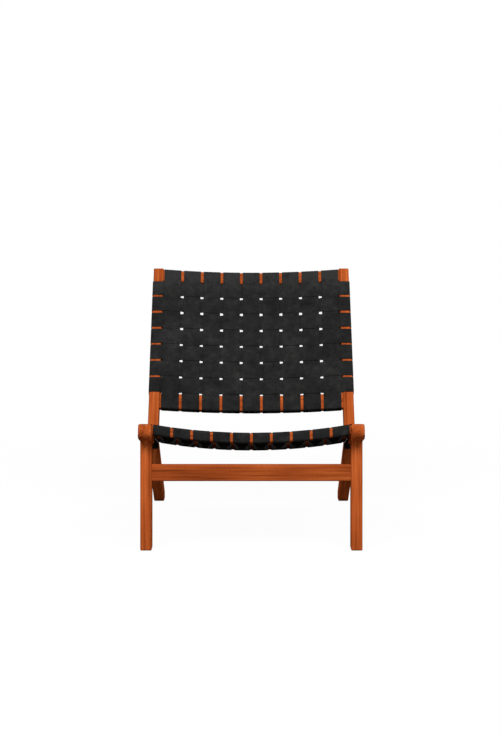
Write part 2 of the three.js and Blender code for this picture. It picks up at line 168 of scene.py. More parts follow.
def round_ends(piece, offset, segments, test):
    """Rounds the edges that run across the chair and pass a test."""
    pick(piece, lambda a, b: across_chair(a, b) and test(a, b))
    bpy.ops.mesh.bevel(offset=offset, segments=segments, affect="EDGES")


def round_edges(piece, joint):
    """Rounds the long edges of a sawn piece, but not where it meets another."""
    pick(piece, lambda a, b: along_side_face(a, b) and not lies_on(a, b, *joint))
    bpy.ops.mesh.bevel(offset=arris, segments=edge_segments, affect="EDGES")


def ease(piece, joint):
    """Rounds the ends and then the long edges of a sawn piece, away from its joint."""
    round_ends(piece, end_rounding, edge_segments, lambda a, b: not lies_on(a, b, *joint))
    round_edges(piece, joint)


def finished(piece, node, finish):
    """Leaves edit mode, smooths the piece, and puts it in its node's place on the frame."""
    if piece.mode == "EDIT":
        bpy.ops.object.mode_set(mode="OBJECT")
    take(piece)
    bpy.ops.object.shade_smooth_by_angle(angle=wood_smoothing)
    piece.data.materials.append(finish)
    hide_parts(node)
    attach(piece, "root")


def mirrored(piece, name):
    """The same piece for the left side, with its own mesh and its faces outwards."""
    take(piece)
    bpy.ops.object.duplicate()
    twin = bpy.context.object
    twin.name = twin.data.name = name
    bpy.ops.object.mode_set(mode="EDIT")
    bpy.ops.mesh.select_all(action="SELECT")
    bpy.ops.transform.mirror(constraint_axis=(True, False, False), center_override=(0, 0, 0))
    bpy.ops.mesh.normals_make_consistent(inside=False)
    bpy.ops.object.mode_set(mode="OBJECT")
    return twin


class Signal:
    """A socket of a material as a number: arithmetic on it adds the Math nodes."""

    def __init__(self, recipe, socket):
        self.recipe = recipe
        self.socket = socket

    def combined(self, operation, first, second):
        return self.recipe.node("ShaderNodeMath", {"operation": operation}, {0: first, 1: second})

    def __add__(self, other):
        return self.combined("ADD", self, other)

    def __radd__(self, other):
        return self.combined("ADD", other, self)

    def __sub__(self, other):
        return self.combined("SUBTRACT", self, other)

    def __rsub__(self, other):
        return self.combined("SUBTRACT", other, self)

    def __mul__(self, other):
        return self.combined("MULTIPLY", self, other)

    def __rmul__(self, other):
        return self.combined("MULTIPLY", other, self)


class Recipe:
    """The nodes of a material, or of the light all round."""

    def __init__(self, owner):
        self.owner = owner
        self.owner.use_nodes = True
        self.tree = self.owner.node_tree
        self.tree.nodes.clear()

    def node(self, kind, settings=None, inputs=None, output=0):
        made = self.tree.nodes.new(kind)
        for key, value in (settings or {}).items():
            if key == "stops":
                while len(made.color_ramp.elements) < len(value):
                    made.color_ramp.elements.new(1)
                for stop, (place, colour) in zip(made.color_ramp.elements, value):
                    stop.position = place
                    stop.color = (*colour, 1)
            else:
                setattr(made, key, value)
        for key, value in (inputs or {}).items():
            if isinstance(value, Signal):
                self.tree.links.new(value.socket, made.inputs[key])
            else:
                made.inputs[key].default_value = value
        return Signal(self, made.outputs[output]) if made.outputs else None

    def place(self, turn=(0, 0, 0), shift=(0, 0, 0)):
        """The piece's own coordinates in metres, turned by angles in degrees and then shifted."""
        coordinates = self.node("ShaderNodeTexCoord", output="Object")
        turned = tuple(math.radians(angle) for angle in turn)
        inputs = {"Vector": coordinates, "Rotation": turned, "Location": shift}
        return self.node("ShaderNodeMapping", inputs=inputs)

    def stretched(self, vector, shares):
        return self.node("ShaderNodeVectorMath", {"operation": "MULTIPLY"}, {0: vector, 1: shares})

    def noise(self, vector, scale, detail=3, roughness=0.5):
        inputs = {"Vector": vector, "Scale": scale, "Detail": detail, "Roughness": roughness}
        return self.node("ShaderNodeTexNoise", inputs=inputs)

    def ramp(self, factor, *stops):
        return self.node("ShaderNodeValToRGB", {"stops": stops}, {"Fac": factor})

    def spread(self, signal, low, high, to_low=0, to_high=1):
        """Takes low to high over to to_low to to_high, and holds them beyond."""
        inputs = {"Value": signal, "From Min": low, "From Max": high}
        inputs.update({"To Min": to_low, "To Max": to_high})
        return self.node("ShaderNodeMapRange", inputs=inputs)

    def bumped(self, height, distance, strength):
        inputs = {"Height": height, "Distance": distance, "Strength": strength}
        return self.node("ShaderNodeBump", inputs=inputs)

    def surface(self, **inputs):
        values = {key.replace("_", " "): value for key, value in inputs.items()}
        shader = self.node("ShaderNodeBsdfPrincipled", inputs=values)
        self.node("ShaderNodeOutputMaterial", inputs={"Surface": shader})
        return self.owner


wood_shades = (  # from the darkest grain to the lightest
    (0.0, (0.175, 0.034, 0.0075)),
    (0.35, (0.345, 0.067, 0.0145)),
    (0.68, (0.455, 0.096, 0.0218)),
    (1.0, (0.590, 0.148, 0.0380)),
)
board_step = (1.7, 0.9, 2.3)  # between one board's place in the timber and the next one's
wood_scales = {"growth": 26, "streaks": 210, "pores": 1300, "blotches": 9}  # to the metre
grain_shares = {"growth": 0.05, "streaks": 0.022, "pores": 0.03}  # of the scales, along the grain
wood_relief = 0.00012
matt = 0.0  # specular level of a face without any sheen


def stained_wood(name, turn, board, tone_and_light_share=1):
    """Straight-grained hardwood under a red-brown stain and a thin, matt oil finish. The turn lays
    the grain along the piece, each board number cuts it from another place in the timber, and the
    tone and light share sets its lightness: boards differ a little in tone, and the share also
    paints light and shade, lighter on the front and rear legs and darker on the seat's rear bar."""
    recipe = Recipe(bpy.data.materials.new(name))
    place = recipe.place(turn, tuple(step * board for step in board_step))

    def grain(layer, detail, roughness):
        drawn_out = recipe.stretched(place, (1, 1, grain_shares[layer]))
        return recipe.noise(drawn_out, wood_scales[layer], detail, roughness)

    growth = grain("growth", 3, 0.55)
    streaks = grain("streaks", 4, 0.62)
    pored = recipe.spread(grain("pores", 2, 0.5), 0.60, 0.74)
    blotches = recipe.noise(place, wood_scales["blotches"], 2)
    figure = growth * 0.5 + streaks * 0.5 + (blotches - 0.5) * 0.16
    tone = recipe.spread(figure, 0.35, 0.65) - pored * 0.16
    shades = [(at, tuple(tone_and_light_share * part for part in shade)) for at, shade in wood_shades]
    return recipe.surface(
        Base_Color=recipe.ramp(tone, *shades),
        Roughness=0.46 + pored * 0.18 + (1 - figure) * 0.10,
        Specular_IOR_Level=matt,
        Normal=recipe.bumped(streaks * 0.5 - pored, wood_relief, 0.6),
    )


def in_pair(piece, node, turn, boards, tone_and_light_shares):
    """Finishes a piece for the right side and its mirror image for the left, from two boards."""
    bpy.ops.object.mode_set(mode="OBJECT")
    pair = {"right": piece, "left": mirrored(piece, f"{node}_wood_left")}
    for (side, made), board, tone_and_light_share in zip(pair.items(), boards, tone_and_light_shares):
        wood = stained_wood(f"{node}_wood_{side[0]}", turn, board, tone_and_light_share)
        finished(made, f"{node}_{side}", wood)


seat_joint = (rail_line.at(0, -joint_gap), rail_line.along)
leg_rear = leg_line.at(0, -leg_depth)
front_leg_outline = [
    meet(leg_rear, leg_line.along, *seat_joint),
    meet(leg_line.origin, leg_line.along, *seat_joint),
    leg_line.origin,
    meet(leg_rear, leg_line.along, leg_line.origin, level_way),
]
front_leg = sawn("front_leg_wood_right", front_leg_outline, leg_inner_x, leg_outer_x)
ease(front_leg, seat_joint)
# The front legs' share of 1.3 is partly painted light, which lifts their upright faces to the
# brightness of the posts.
in_pair(front_leg, "front_leg", (front_leg_lean, 0, 0), boards=(1, 2), tone_and_light_shares=(1.3, 1.3))

# The seat rails are boards of the same wood that fall to the rear, a little thicker than the legs.
# Each is rounded to a full radius in front, and is tenoned into the back post behind.
rail_thickness = 0.038
rail_reach = 0.2875  # from the front leg to the knee
back_recline = 38.45  # degrees off plumb
nose_segments = 12
nose_round_share = 0.998  # of the full radius, so that its two bevels stop short of each other
rail_middle_x = leg_outer_x - leg_thickness / 2
rail_inner_x = rail_middle_x - rail_thickness / 2
rail_outer_x = rail_middle_x + rail_thickness / 2
knee_front = rail_line.at(rail_reach, 0)
post_line = off_plumb(back_recline)
post_face = (knee_front - joint_gap * Vector((post_line.y, -post_line.x)), post_line)
rail_top = rail_line.at(0, rail_height)
rail_front = rail_line.at(-nose_reach, 0)
rail_outline = [
    meet(*post_face, rail_line.origin, rail_line.along),
    meet(*post_face, rail_top, rail_line.along),
    rail_line.at(-nose_reach, rail_height),
    rail_front,
]
rail = sawn("seat_rail_wood_right", rail_outline, rail_inner_x, rail_outer_x)
nose_line = (rail_front, rail_line.across)
nose_round = nose_round_share * nose_radius
round_ends(rail, nose_round, nose_segments, lambda a, b: lies_on(a, b, *nose_line))
round_edges(rail, post_face)
in_pair(rail, "seat_rail", (90 + rail_slope, 0, 0), boards=(3, 4), tone_and_light_shares=(1.1, 1.1))

# The back posts and rear legs are boards of the same wood. Each post meets its leg at the knee in
# a mitre, with a loose spline across it. The leg tapers to a foot, whose heel is cut upright.
post_length = 0.681
rear_leg_lean = -52.2  # degrees off plumb
knee_rise = 0.0609  # the rear end of the mitre, up the post from its front end
rear_sole_length = 0.048
rear_heel_height = 0.025

back_line = SideLine(knee_front + post_length * post_line, post_line)
rear_leg_line = off_plumb(rear_leg_lean)
knee_rear = back_line.at(knee_rise - post_length, -leg_depth)
heel_top = meet(knee_rear, rear_leg_line, Vector((0, rear_heel_height)), level_way)
mitre = SideLine(knee_rear, knee_rear - knee_front)
post_joint = (mitre.at(0, joint_gap / 2), mitre.along)
leg_joint = (mitre.at(0, -joint_gap / 2), mitre.along)
post_outline = [
    meet(knee_front, post_line, *post_joint),
    meet(knee_rear, post_line, *post_joint),
    back_line.at(0, -leg_depth),
    back_line.origin,
]
post = sawn("back_post_wood_right", post_outline, leg_inner_x, leg_outer_x)
ease(post, post_joint)
in_pair(post, "back_post", (back_recline, 0, 0), boards=(5, 6), tone_and_light_shares=(1.10, 0.96))

sole_front = Vector((heel_top.x - rear_sole_length, 0))
rear_leg_outline = [
    meet(heel_top, rear_leg_line, *leg_joint),
    meet(sole_front, knee_front - sole_front, *leg_joint),
    sole_front,
    Vector((heel_top.x, 0)),
    heel_top,
]
rear_leg = sawn("rear_leg_wood_right", rear_leg_outline, leg_inner_x, leg_outer_x)
ease(rear_leg, leg_joint)
# The rear legs' share of 1.48 is painted light, which lightens them where they face down into
# shade.
in_pair(rear_leg, "rear_leg", (rear_leg_lean, 0, 0), boards=(7, 8), tone_and_light_shares=(1.48, 1.48))

# The splines lie inside the knees and keep their plain solids, in the wood of the rear legs.
for side in ("right", "left"):
    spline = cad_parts[f"knee_spline_{side}"]
    spline.data.materials.clear()
    spline.data.materials.append(bpy.data.materials[f"rear_leg_wood_{side[0]}"])

# Five cross pieces of the same wood hold the two side frames apart, tenoned into them. The
# stretcher between the front legs is straight. The two bars of the seat and the two of the back are
# cut to a bow, which gives both their hollow.
stretcher_rise = 0.2035
stretcher_height = 0.0495
stretcher_depth = 0.024
stretcher_setback = 0.003
seat_slope = 15  # degrees below level
seat_drop = 0.0022
seat_bar_depth = 0.030
front_bar_height = 0.026
front_bar_reach = 0.038
rear_bar_height = 0.021
rear_bar_setback = 0.003
back_bar_depth = 0.019
back_bar_setback = 0.0005
top_bar_height = 0.0435
top_bar_drop = 0.0057
bottom_bar_height = 0.0547
bottom_bar_rise = 0.1479  # up the post's front face, from the knee
seat_bow = 0.0246
back_bow = 0.020
bar_edge = 0.004
bow_cuts = 23
crosswise_turn = (0, -90, 0)

bottom_bar_drop = post_length - bottom_bar_rise - bottom_bar_height
seat_line = SideLine(rail_line.at(0, rail_height - seat_drop), falling(seat_slope))
post_crossing = meet(seat_line.origin, seat_line.along, knee_front, post_line)
rear_bar_front = (post_crossing - seat_line.origin).length + rear_bar_setback


def bow_depth(bow, half_span, x):
    return bow * max(0, 1 - (x / half_span) ** 2)


def seat_sag(x):
    return bow_depth(seat_bow, rail_inner_x, x)


def back_hollow(x):
    return bow_depth(back_bow, leg_inner_x, x)


def bent(piece, line, depth_at):
    """Bends a straight piece into the bow of the seat or the back."""
    for corner in piece.data.vertices:
        depth = depth_at(corner.co.x)
        corner.co.y -= depth * line.across.x
        corner.co.z -= depth * line.across.y


def cross_bar(node, line, a, height, b, depth, half_span, depth_at, board, tone_and_light_share=1):
    """A bar between the side frames, a to a + height along a line of the side elevation and b to
    b + depth square to it, with rounded edges. It is bowed where depth_at gives a depth for x."""
    half = half_span - joint_gap
    bar = sawn(f"{node}_wood", line.block(a, a + height, b, b + depth), -half, half)
    pick(bar, across_chair)
    bpy.ops.mesh.bevel(offset=bar_edge, segments=edge_segments, affect="EDGES")
    if depth_at:
        pick(bar, across_chair)
        bpy.ops.mesh.subdivide(number_cuts=bow_cuts)
        bpy.ops.object.mode_set(mode="OBJECT")
        bent(bar, line, depth_at)
    finished(bar, node, stained_wood(f"{node}_wood", crosswise_turn, board, tone_and_light_share))


bar_behind = -back_bar_setback - back_bar_depth
cross_bar("front_stretcher", leg_line, stretcher_rise, stretcher_height,
          -stretcher_setback - stretcher_depth, stretcher_depth, leg_inner_x, None, board=9)
cross_bar("seat_front_bar", seat_line, -front_bar_reach, seat_bar_depth,
          -front_bar_height, front_bar_height, rail_inner_x, seat_sag, board=10, tone_and_light_share=1.05)
# The rear bar's share of 0.3 is painted shade, for the deep shade under the seat.
cross_bar("seat_rear_bar", seat_line, rear_bar_front, seat_bar_depth,
          -rear_bar_height, rear_bar_height, leg_inner_x, seat_sag, board=11, tone_and_light_share=0.3)
cross_bar("back_top_bar", back_line, -top_bar_drop - top_bar_height, top_bar_height,
          bar_behind, back_bar_depth, leg_inner_x, back_hollow, board=12, tone_and_light_share=0.86)
cross_bar("back_bottom_bar", back_line, -bottom_bar_drop - bottom_bar_height, bottom_bar_height,
          bar_behind, back_bar_depth, leg_inner_x, back_hollow, board=13, tone_and_light_share=1.06)

# The seat is woven from straps of thick black leather. Five cross straps are pulled round the two
# rails and end on their inner faces, but the first two lie over the front legs, where there is no
# way round, and end on the outer faces.
strap_thickness = 0.0016
strap_edge = 0.0004  # rounding of the cut edges
strap_lift = 0.0010  # middle of a strap above the wood that it lies on
weave_lift = 0.00085  # middle of a strap off the middle of the weave
crown = 0.0002  # rise of a strap over the middle of the one that it crosses
crossing_margin = 0.001
strap_tail = 0.028  # a strap's end, from the edge of the wood that it is turned round
seat_strap_width = 0.049
seat_warp_count = 10
seat_warp_pitch = 0.0578
seat_weft_count = 5
seat_weft_inset = 0.0045  # from the front bar's rounded edge to the first row
seat_weft_pitch = 0.062
turn_steps = 5
ramp_steps = 6
crown_shares = (-1, -0.6, 0, 0.6, 1)  # places over a crossing, as shares of half its length
cuts_across_strap = 3
strap_edge_segments = 2
cut_edge_angle = math.radians(60)
leather_smoothing = math.radians(50)
same_point = 1e-6
parallel = 1e-9


def round_turn(a, b, radius, start, end):
    """The middle of a strap round an edge of some radius, between two angles in degrees."""
    reach = radius + strap_lift
    angles = [math.radians(start + (end - start) * i / turn_steps) for i in range(turn_steps + 1)]
    return [Vector((a + reach * math.cos(t), b + reach * math.sin(t))) for t in angles]


def eased_between(p, q):
    """A soft S from one level to another."""
    shares = [(i + 1) / (ramp_steps + 1) for i in range(ramp_steps)]
    return [
        Vector((p.x + (q.x - p.x) * s, p.y + (q.y - p.y) * s * s * (3 - 2 * s))) for s in shares
    ]


def over_or_under(row, column):
    """1 where a level strap crosses over an upright or fore-and-aft one, or -1 for under it."""
    return 1 if (row + column) % 2 == 1 else -1


def woven(start, crossings, end):
    """The middle line of a strap: its start, then over and under the straps that it meets, and its
    end. Each crossing is the place and width of the other strap, 1 for over it or -1 for under it,
    and the level of the weave there."""
    line = list(start)
    for place, width, side, level in crossings:
        reach = width / 2 + crossing_margin
        over = [
            Vector((
                place + share * reach,
                level + side * (weave_lift + crown * (1 - share * share)),
            ))
            for share in crown_shares
        ]
        line += eased_between(line[-1], over[0]) + over
    return line + eased_between(line[-1], end[0]) + list(end)


def facing_left(points):
    """The other end of a strap, for its start on the left side of the chair."""
    return [Vector((-p.x, p.y)) for p in reversed(points)]


leather_scales = {  # to the metre
    "hides": 8,
    "mottling": 34,
    "scuffs": 120,
    "creases": 420,
    "pebble": 780,
}
leather_shades = (  # shares of its lightness, from the least worn and painted sheen to the most
    (0.0, (0.62, 0.60, 0.60)),
    (0.55, (1.0, 0.98, 0.97)),
    (1.0, (1.55, 1.52, 1.50)),
)
painted_sheen_heights = (0.68, 0.76)  # above the floor, from none of the painted sheen to the most
painted_sheen = 0.55


def black_leather(name, lightness, relief, roughness):
    """Thick vegetable-tanned leather dyed black: a fine pebble, soft mottling and a matt face. It
    is painted a little lighter over the top of the back, a painted sheen of the light from above."""
    recipe = Recipe(bpy.data.materials.new(name))
    place = recipe.place()
    hides = recipe.noise(place, leather_scales["hides"], 2, 0.5)
    mottling = recipe.noise(place, leather_scales["mottling"], 4, 0.55)
    scuffs = recipe.noise(place, leather_scales["scuffs"], 5, 0.65)
    creases = recipe.noise(place, leather_scales["creases"], 5, 0.6)
    pebble = recipe.node("ShaderNodeTexVoronoi", {"feature": "SMOOTH_F1"},
                         {"Vector": place, "Scale": leather_scales["pebble"], "Smoothness": 0.6})
    height = recipe.node("ShaderNodeSeparateXYZ", inputs={"Vector": place}, output="Z")
    # Painted sheen: the leather is made lighter towards the top of the back, for the light from
    # above.
    top_sheen = recipe.spread(height, *painted_sheen_heights, 0, painted_sheen)
    wear_and_sheen = recipe.spread(mottling * 0.45 + hides * 0.25 + scuffs * 0.30, 0.38, 0.64) + top_sheen
    shades = [(at, tuple(lightness * share for share in shares)) for at, shares in leather_shades]
    return recipe.surface(
        Base_Color=recipe.ramp(wear_and_sheen, *shades),
        Roughness=roughness + (1 - wear_and_sheen) * 0.08 - pebble * 0.06,
        Specular_IOR_Level=matt,
        Normal=recipe.bumped(creases * 0.7 - pebble * 0.6, relief, 0.7),
    )


grain_side = black_leather("leather_grain_side", lightness=0.0202, relief=0.00022, roughness=0.62)
flesh_side = black_leather("leather_flesh_side", lightness=0.019, relief=0.00045, roughness=0.85)
cut_edge = black_leather("leather_cut_edge", lightness=0.006, relief=0.0001, roughness=0.55)


def strap(node, path, half_edge):
    """A strip without thickness, drawn out from step to step along a path. Half its width is a
    vector, to its right as it runs with the grain side up."""
    deselect()
    bpy.ops.mesh.primitive_plane_add(size=1)
    strip = bpy.context.object
    strip.name = strip.data.name = f"{node}_leather"
    corners = [path[0] - half_edge, path[0] + half_edge, path[1] - half_edge, path[1] + half_edge]
    for corner, place in zip(strip.data.vertices, corners):
        corner.co = place
    bpy.ops.object.mode_set(mode="EDIT")
    pick(strip, lambda a, b: ((a + b) / 2 - path[1]).length < same_point)
    for here, there in zip(path[1:], path[2:]):
        bpy.ops.mesh.extrude_region_move(TRANSFORM_OT_translate={"value": there - here})
    pick(strip, lambda a, b: (b - a).cross(half_edge).length < parallel)
    bpy.ops.mesh.subdivide(number_cuts=cuts_across_strap)
    bpy.ops.object.mode_set(mode="OBJECT")
    return strip


def cut_from_leather(strip, node):
    """Gives a strip its thickness, its edges and its three faces of leather."""
    for finish in (grain_side, flesh_side, cut_edge):
        strip.data.materials.append(finish)
    take(strip)
    thick = strip.modifiers.new("thickness", "SOLIDIFY")
    thick.thickness = strap_thickness
    thick.offset = 0
    thick.use_even_offset = True
    thick.material_offset = 1
    thick.material_offset_rim = 2
    rounded = strip.modifiers.new("rounded edges", "BEVEL")
    rounded.width = strap_edge
    rounded.segments = strap_edge_segments
    rounded.limit_method = "ANGLE"
    rounded.angle_limit = cut_edge_angle
    for modifier in ("thickness", "rounded edges"):
        bpy.ops.object.modifier_apply(modifier=modifier)
    bpy.ops.object.shade_smooth_by_angle(angle=leather_smoothing)
    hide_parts(node)
    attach(strip, "root")


def along_side(way):
    return Vector((0, way.x, way.y))


def on_side(x, line, a, b):
    point = line.at(a, b)
    return Vector((x, point.x, point.y))


seat_warp_places = [
    (column - (seat_warp_count - 1) / 2) * seat_warp_pitch for column in range(seat_warp_count)
]
seat_weft_first = bar_edge + seat_weft_inset - front_bar_reach + seat_strap_width / 2
seat_weft_places = [seat_weft_first + row * seat_weft_pitch for row in range(seat_weft_count)]
# The first row lies on the front bar, where the weave is two straps thick.
seat_levels = [strap_lift + (weave_lift if row == 0 else 0) for row in range(seat_weft_count)]
seat_tilt = math.tan(math.radians(rail_slope - seat_slope))
leg_footprint = leg_depth / math.cos(math.radians(rail_slope - front_leg_lean))
seat_wefts_over_leg = [
    place - seat_strap_width / 2 < leg_footprint + joint_gap for place in seat_weft_places
]

for row, place in enumerate(seat_weft_places):
    rise = rail_height - seat_drop + place * seat_tilt
    crossings = [
        (x, seat_strap_width, over_or_under(row, column), rise + seat_levels[row])
        for column, x in enumerate(seat_warp_places)
    ]
    if seat_wefts_over_leg[row]:
        tail = [Vector((rail_outer_x + strap_lift, arris))]
    else:
        tail = [
            *round_turn(rail_outer_x - arris, arris, arris, 0, -90),
            *round_turn(rail_inner_x + arris, arris, arris, -90, -180),
            Vector((rail_inner_x - strap_lift, strap_tail)),
        ]
    ends = []
    for _, _, side, level in (crossings[0], crossings[-1]):
        if level + side * weave_lift < rail_height:
            onto = round_turn(rail_inner_x + arris, rail_height - arris, arris, 135, 90)
        else:
            onto = [Vector((rail_inner_x + arris, rail_height + strap_lift))]
        over = round_turn(rail_outer_x - arris, rail_height - arris, arris, 90, 0)
        ends.append([*onto, *over, *tail])
    line = woven(facing_left(ends[0]), crossings, ends[1])
    half = -along_side(rail_line.along) * seat_strap_width / 2
    path = [on_side(spot.x, rail_line, place, spot.y) for spot in line]
    weft = strap(f"seat_weft_strap_{row + 1}", path, half)
    # Between the rails a strap lies at the slope of the seat, which is a little less than theirs.
    wrap_start = rail_inner_x - strap_lift - strap_thickness
    for corner in weft.data.vertices:
        if abs(corner.co.x) < wrap_start:
            off_middle = Vector((corner.co.y, corner.co.z)) - rail_line.at(place, 0)
            along = off_middle.dot(rail_line.along)
            corner.co.y += along * seat_tilt * rail_line.across.x
            corner.co.z += along * seat_tilt * rail_line.across.y
    bent(weft, seat_line, seat_sag)
    cut_from_leather(weft, f"seat_weft_strap_{row + 1}")

# Ten straps of the same leather run fore and aft between them. Each is wound round the front bar,
# over and under the cross straps, and round the rear bar, and its two ends are tacked to the inner
# faces of the bars.
field_start = seat_bar_depth - front_bar_reach
rear_bar_back = rear_bar_front + seat_bar_depth
tail_end = -bar_edge - strap_lift

for column, x in enumerate(seat_warp_places):
    crossings = [
        (place, seat_strap_width, -over_or_under(row, column), seat_levels[row])
        for row, place in enumerate(seat_weft_places)
    ]
    front_wrap = [
        Vector((field_start + strap_lift, tail_end)),
        *round_turn(field_start - bar_edge, bar_edge - front_bar_height, bar_edge, 0, -90),
        *round_turn(bar_edge - front_bar_reach, bar_edge - front_bar_height, bar_edge, 270, 180),
        *round_turn(bar_edge - front_bar_reach, -bar_edge, bar_edge, 180, 90),
    ]
    rear_wrap = [
        Vector((rear_bar_front + bar_edge, strap_lift)),
        *round_turn(rear_bar_back - bar_edge, -bar_edge, bar_edge, 90, 0),
        *round_turn(rear_bar_back - bar_edge, bar_edge - rear_bar_height, bar_edge, 0, -90),
        *round_turn(rear_bar_front + bar_edge, bar_edge - rear_bar_height, bar_edge, 270, 180),
        Vector((rear_bar_front - strap_lift, tail_end)),
    ]
    line = woven(front_wrap, crossings, rear_wrap)
    path = [on_side(x, seat_line, spot.x, spot.y) for spot in line]
    warp = strap(f"seat_warp_strap_{column + 1}", path, Vector((seat_strap_width / 2, 0, 0)))
    bent(warp, seat_line, seat_sag)
    cut_from_leather(warp, f"seat_warp_strap_{column + 1}")

# The back is woven in the same way, of the same leather. Seven level straps are wrapped round both
# posts, front, outside and behind, and end on the inner faces. They are laid by hand, so their
# spacing drifts a little.
back_warp_width = 0.0556
back_weft_width = 0.054
back_warp_count = 9
back_warp_pitch_top = 0.0653
back_warp_pitch_bottom = 0.0644
back_weft_gap = 0.0065  # from the top bar to the first row
back_weft_pitch = 0.0608
back_weft_drift_shares = (-0.02, -0.015, 0.02, 0.035, 0.03, 0.035, 0.03)

back_drop = bottom_bar_drop + bottom_bar_height
back_level = strap_lift - back_bar_setback
back_weft_first = top_bar_drop + top_bar_height + back_weft_gap + back_weft_width / 2
back_weft_places = [
    back_weft_first + (row + share) * back_weft_pitch
    for row, share in enumerate(back_weft_drift_shares)
]


def back_warp_x(column, down_share):
    """The middle of an upright strap, at a share of the way down from the posts' tops."""
    pitch = back_warp_pitch_top + (back_warp_pitch_bottom - back_warp_pitch_top) * down_share
    return (column - (back_warp_count - 1) / 2) * pitch


for row, place in enumerate(back_weft_places):
    crossings = [
        (back_warp_x(column, place / back_drop), back_warp_width,
         over_or_under(row, column), back_level)
        for column in range(back_warp_count)
    ]
    end = [
        Vector((leg_inner_x + arris, strap_lift)),
        *round_turn(leg_outer_x - arris, -arris, arris, 90, 0),
        *round_turn(leg_outer_x - arris, arris - leg_depth, arris, 0, -90),
        *round_turn(leg_inner_x + arris, arris - leg_depth, arris, -90, -180),
        Vector((leg_inner_x - strap_lift, strap_tail - leg_depth)),
    ]
    line = woven(facing_left(end), crossings, end)
    path = [on_side(spot.x, back_line, -place, spot.y) for spot in line]
    half = -along_side(back_line.along) * back_weft_width / 2
    weft = strap(f"back_weft_strap_{row + 1}", path, half)
    bent(weft, back_line, back_hollow)
    cut_from_leather(weft, f"back_weft_strap_{row + 1}")

# Nine upright straps start behind the top bar, come over it and down through the level ones, and
# turn under the bottom bar to end behind it. They draw together a little on the way down.
for column in range(back_warp_count):
    crossings = [
        (-place, back_weft_width, -over_or_under(row, column), back_level)
        for row, place in enumerate(back_weft_places)
    ]
    bottom_wrap = [
        Vector((strap_tail - back_drop, bar_behind - strap_lift)),
        *round_turn(bar_edge - back_drop, bar_behind + bar_edge, bar_edge, 270, 180),
        *round_turn(bar_edge - back_drop, -back_bar_setback - bar_edge, bar_edge, 180, 90),
        Vector((-bottom_bar_drop - bar_edge, back_level)),
    ]
    top_wrap = [
        Vector((bar_edge - top_bar_drop - top_bar_height, back_level)),
        *round_turn(-top_bar_drop - bar_edge, -back_bar_setback - bar_edge, bar_edge, 90, 0),
        *round_turn(-top_bar_drop - bar_edge, bar_behind + bar_edge, bar_edge, 0, -90),
        Vector((-top_bar_drop - strap_tail, bar_behind - strap_lift)),
    ]
    line = woven(bottom_wrap, crossings[::-1], top_wrap)
    path = [
        on_side(back_warp_x(column, -spot.x / back_drop), back_line, spot.x, spot.y)
        for spot in line
    ]
    warp = strap(f"back_warp_strap_{column + 1}", path, Vector((back_warp_width / 2, 0, 0)))
    bent(warp, back_line, back_hollow)
    cut_from_leather(warp, f"back_warp_strap_{column + 1}")

# The strap ends are held by small domed tacks of blackened steel, two to an end. They go through
# the leather into the hidden faces of the bars, posts and rails, and into the rails' outer faces
# where the first two cross straps end.
tack_radius = 0.0045
tack_height = 0.0019
tack_inset = 0.009  # from the strap's end
tack_spread_share = 0.28  # off the strap's middle, as a share of its width
tack_segments = 14
tack_rings = 10
tack_smoothing = math.radians(40)
tarnish_scale = 700  # to the metre
tarnish_relief = 0.00005
tarnish_shades = ((0.3, (0.012, 0.011, 0.010)), (0.7, (0.035, 0.030, 0.026)))


def blackened_steel():
    """The black finish of the tacks, a little tarnished."""
    recipe = Recipe(bpy.data.materials.new("blackened_tacks"))
    tarnish = recipe.noise(recipe.place(), tarnish_scale, 4, 0.6)
    return recipe.surface(
        Base_Color=recipe.ramp(tarnish, *tarnish_shades),
        Metallic=1,
        Roughness=0.32 + tarnish * 0.22,
        Normal=recipe.bumped(tarnish, tarnish_relief, 0.5),
    )


blackened = blackened_steel()
deselect()
bpy.ops.mesh.primitive_uv_sphere_add(
    segments=tack_segments, ring_count=tack_rings, radius=tack_radius
)
tack = bpy.context.object
tack.name = tack.data.name = "tack"
bpy.ops.object.mode_set(mode="EDIT")
bpy.ops.mesh.bisect(plane_co=(0, 0, 0), plane_no=(0, 0, -1), use_fill=True, clear_outer=True)
bpy.ops.mesh.select_all(action="SELECT")
bpy.ops.transform.resize(value=(1, 1, tack_height / tack_radius), center_override=(0, 0, 0))
bpy.ops.object.mode_set(mode="OBJECT")


def tack_row(name, spots):
    """Copies the tack to each place and outward direction, and joins the copies into one piece."""
    copies = []
    for place, outward in spots:
        one = tack.copy()
        one.data = tack.data.copy()
        bpy.context.collection.objects.link(one)
        turn = outward.to_track_quat("Z", "Y").to_matrix().to_4x4()
        turn.translation = place
        one.data.transform(turn)
        copies.append(one)
    deselect()
    for one in copies:
        one.select_set(True)
    bpy.context.view_layer.objects.active = copies[0]
    bpy.ops.object.join()
    row = bpy.context.object
    row.name = row.data.name = name
    bpy.ops.object.shade_smooth_by_angle(angle=tack_smoothing)
    row.data.materials.clear()
    row.data.materials.append(blackened)
    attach(row, "root")


tack_face = strap_lift + strap_thickness / 2
tack_shares = (-tack_spread_share, tack_spread_share)
behind = -along_side(back_line.across)
back_tack_rows = {
    "top": tack_inset - top_bar_drop - strap_tail,
    "bottom": strap_tail - tack_inset - back_drop,
}
for name, a in back_tack_rows.items():
    spots = []
    for column in range(back_warp_count):
        for share in tack_shares:
            x = back_warp_x(column, -a / back_drop) + share * back_warp_width
            depth = bar_behind - tack_face - back_hollow(x)
            spots.append((on_side(x, back_line, a, depth), behind))
    tack_row(f"back_{name}_bar_tacks", spots)

